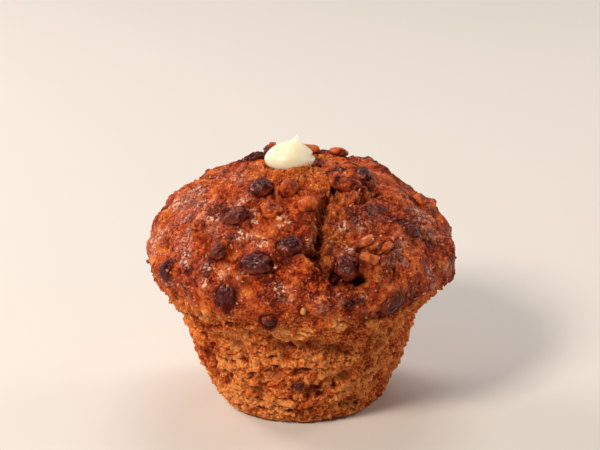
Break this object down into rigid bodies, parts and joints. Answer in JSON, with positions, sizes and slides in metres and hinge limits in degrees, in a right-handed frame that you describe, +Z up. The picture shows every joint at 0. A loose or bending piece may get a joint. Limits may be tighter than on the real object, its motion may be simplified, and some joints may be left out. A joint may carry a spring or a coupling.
{
  "type": "muffin",
  "caption": "Large domed muffin with a tapered stump, a burst crown, baked-in raisins, walnut pieces and carrot sticks, and a small dab of icing",
  "frame": {"origin": "centre of the box round the whole muffin, at the level of its flat foot", "axes": "+Z up, -Y the front shown in the picture, +X to the right of the front"},
  "size_m": [0.0956, 0.0966, 0.0855],
  "materials": {
    "crust": "baked crust, sticky glaze on the crown",
    "icing": "soft satin cream-cheese icing",
    "raisin": "wrinkled, sticky",
    "walnut": "toasted, glazed",
    "carrot": "roasted, glazed"
  },
  "bodies": {
    "root": {"muffin": "crust", "icing_dab": "icing", "raisin_1": "raisin", "walnut_1": "walnut", "walnut_2": "walnut", "raisin_2": "raisin", "walnut_3": "walnut", "walnut_4": "walnut", "raisin_3": "raisin", "raisin_4": "raisin", "raisin_5": "raisin", "raisin_6": "raisin", "raisin_7": "raisin", "raisin_8": "raisin", "raisin_9": "raisin", "raisin_10": "raisin", "raisin_11": "raisin", "raisin_12": "raisin", "carrot_1": "carrot", "carrot_2": "carrot", "walnut_5": "walnut", "raisin_13": "raisin", "walnut_6": "walnut", "walnut_7": "walnut", "raisin_14": "raisin", "walnut_8": "walnut", "carrot_3": "carrot", "walnut_9": "walnut", "raisin_15": "raisin", "walnut_10": "walnut", "raisin_16": "raisin", "carrot_4": "carrot", "raisin_17": "raisin", "walnut_11": "walnut", "raisin_18": "raisin", "carrot_5": "carrot", "raisin_19": "raisin", "walnut_12": "walnut"}
  },
  "joints": []
}
